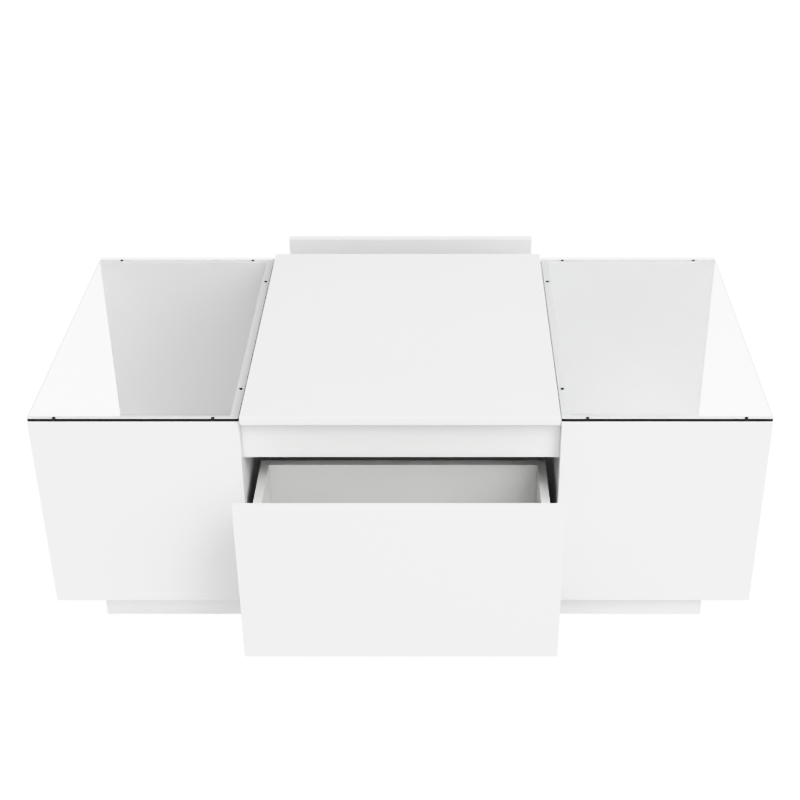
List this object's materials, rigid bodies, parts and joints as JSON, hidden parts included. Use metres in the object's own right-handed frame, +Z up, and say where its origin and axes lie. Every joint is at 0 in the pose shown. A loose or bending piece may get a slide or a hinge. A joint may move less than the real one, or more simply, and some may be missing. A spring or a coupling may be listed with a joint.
{
  "type": "lift top coffee table",
  "caption": "White coffee table with glass-topped open-ended side units, a lifting centre top on spring hinges over a hidden compartment, and handleless drawers to front and rear.",
  "frame": {"origin": "on the floor under the middle of the table, at the underside of the plinth's middle stretcher", "axes": "+X along the table's length, +Y towards the rear drawer, +Z up"},
  "size_m": [1.2, 1.003, 0.426],
  "materials": {
    "white_lacquer": "white lacquer on medium density fibreboard, smooth with a soft gloss",
    "white_drawer_board": "white foil on board, matt",
    "clear_glass": "clear float glass with polished edges",
    "dark_rubber": "dark rubber pads",
    "zinc_steel": "zinc-plated rolled steel",
    "dark_steel": "black powder-coated steel",
    "spring_steel": "bright spring wire"
  },
  "bodies": {
    "root": {"plinth_frame": "white_lacquer", "centre_bottom_board": "white_lacquer", "front_apron": "white_lacquer", "rear_apron": "white_lacquer", "compartment_floor": "white_lacquer", "left_bottom_board": "white_lacquer", "left_front_panel": "white_lacquer", "left_rear_panel": "white_lacquer", "left_inner_panel": "white_lacquer", "left_glass_top": "clear_glass", "left_pad_front_inner": "dark_rubber", "left_pad_front_outer": "dark_rubber", "left_pad_rear_inner": "dark_rubber", "left_pad_rear_outer": "dark_rubber", "left_pad_side_front": "dark_rubber", "left_pad_side_rear": "dark_rubber", "right_bottom_board": "white_lacquer", "right_front_panel": "white_lacquer", "right_rear_panel": "white_lacquer", "right_inner_panel": "white_lacquer", "right_glass_top": "clear_glass", "right_pad_front_inner": "dark_rubber", "right_pad_front_outer": "dark_rubber", "right_pad_rear_inner": "dark_rubber", "right_pad_rear_outer": "dark_rubber", "right_pad_side_front": "dark_rubber", "right_pad_side_rear": "dark_rubber", "front_drawer_slide_left_cabinet_member": "zinc_steel", "front_drawer_slide_right_cabinet_member": "zinc_steel", "rear_drawer_slide_left_cabinet_member": "zinc_steel", "rear_drawer_slide_right_cabinet_member": "zinc_steel", "left_lift_base_bracket": "dark_steel", "left_lift_spring": "spring_steel", "right_lift_base_bracket": "dark_steel", "right_lift_spring": "spring_steel"},
    "front_drawer": {"front_drawer_front": "white_lacquer", "front_drawer_left_side": "white_drawer_board", "front_drawer_right_side": "white_drawer_board", "front_drawer_back": "white_drawer_board", "front_drawer_bottom_panel": "white_drawer_board", "front_drawer_slide_left_drawer_member": "zinc_steel", "front_drawer_slide_right_drawer_member": "zinc_steel"},
    "front_slide_middle": {"front_drawer_slide_left_middle_member": "zinc_steel", "front_drawer_slide_right_middle_member": "zinc_steel"},
    "rear_drawer": {"rear_drawer_front": "white_lacquer", "rear_drawer_left_side": "white_drawer_board", "rear_drawer_right_side": "white_drawer_board", "rear_drawer_back": "white_drawer_board", "rear_drawer_bottom_panel": "white_drawer_board", "rear_drawer_slide_left_drawer_member": "zinc_steel", "rear_drawer_slide_right_drawer_member": "zinc_steel"},
    "rear_slide_middle": {"rear_drawer_slide_left_middle_member": "zinc_steel", "rear_drawer_slide_right_middle_member": "zinc_steel"},
    "front_arms": {"left_lift_front_arm": "dark_steel", "right_lift_front_arm": "dark_steel"},
    "rear_arms": {"left_lift_rear_arm": "dark_steel", "right_lift_rear_arm": "dark_steel"},
    "lift_top": {"lift_top_board": "white_lacquer", "left_lift_top_bracket": "dark_steel", "right_lift_top_bracket": "dark_steel"}
  },
  "joints": [
    {"name": "front_drawer_travel", "type": "slide", "parent": "root", "child": "front_drawer", "axis": [0, -1, 0], "range_m": [-0.149, 0.105]},
    {"name": "front_slide_middle_travel", "type": "slide", "parent": "root", "child": "front_slide_middle", "axis": [0, -1, 0], "range_m": [-0.0745, 0.0525]},
    {"name": "rear_drawer_travel", "type": "slide", "parent": "root", "child": "rear_drawer", "axis": [0, 1, 0], "range_m": [-0.254, 0]},
    {"name": "rear_slide_middle_travel", "type": "slide", "parent": "root", "child": "rear_slide_middle", "axis": [0, 1, 0], "range_m": [-0.127, 0]},
    {"name": "lift", "type": "hinge", "parent": "root", "child": "rear_arms", "pos_m": [0, 0.03, 0.368], "axis": [1, 0, 0], "range_deg": [0, 76]},
    {"name": "lift_top_level", "type": "hinge", "parent": "rear_arms", "child": "lift_top", "pos_m": [0, 0.21954, 0.38125], "axis": [1, 0, 0], "range_deg": [-76, 0]},
    {"name": "front_arms_swing", "type": "hinge", "parent": "root", "child": "front_arms", "pos_m": [0, -0.07, 0.368], "axis": [1, 0, 0], "range_deg": [0, 76], "deforming": ["left_lift_spring", "right_lift_spring"]}
  ],
  "couplings": [
    {"joint": "front_slide_middle_travel", "follows": "front_drawer_travel", "ratio": 0.5},
    {"joint": "rear_slide_middle_travel", "follows": "rear_drawer_travel", "ratio": 0.5},
    {"joint": "lift_top_level", "follows": "lift", "ratio": -1},
    {"joint": "front_arms_swing", "follows": "lift", "ratio": 1}
  ]
}
